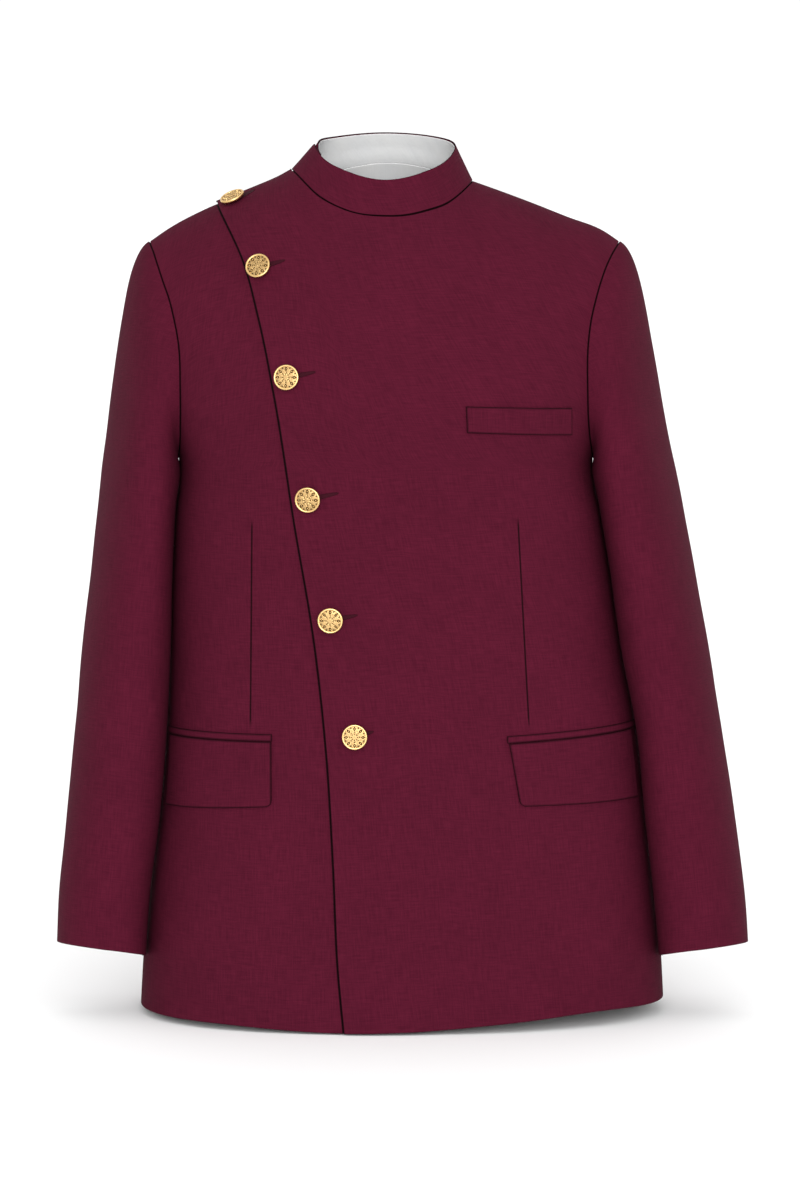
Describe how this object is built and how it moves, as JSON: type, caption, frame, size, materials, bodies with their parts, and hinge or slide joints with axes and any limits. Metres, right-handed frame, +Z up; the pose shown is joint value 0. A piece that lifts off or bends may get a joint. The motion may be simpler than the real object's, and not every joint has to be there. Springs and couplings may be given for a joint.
{
  "type": "bandhgala jacket",
  "caption": "Long-sleeved bandhgala jacket with a band collar, a diagonal front closure with metal buttons, a chest welt and two flap pockets, worn and hollow",
  "frame": {"origin": "middle of the neck at the level of the neck points, where the wearer's neck and shoulders hold the jacket up", "axes": "+Z up along the wearer's body, -Y out of the front, +X to the wearer's left"},
  "size_m": [0.6233, 0.2578, 0.7893],
  "materials": {
    "cloth": "matte maroon woven suiting with fine slubs",
    "lining": "smooth pale grey lining",
    "button": "pale gold, cast relief"
  },
  "bodies": {
    "root": {"front_left": "cloth", "front_right": "cloth", "back_left": "cloth", "back_right": "cloth", "sleeve_left_top": "cloth", "sleeve_left_under": "cloth", "sleeve_right_top": "cloth", "sleeve_right_under": "cloth", "collar": "cloth", "collar_lining": "lining", "neck_lining": "lining", "chest_welt": "cloth", "pocket_jet_left": "cloth", "pocket_jet_right": "cloth", "pocket_flap_left": "cloth", "pocket_flap_right": "cloth", "button_1": "button", "button_2": "button", "button_3": "button", "button_4": "button", "button_5": "button", "button_6": "button"}
  },
  "joints": []
}
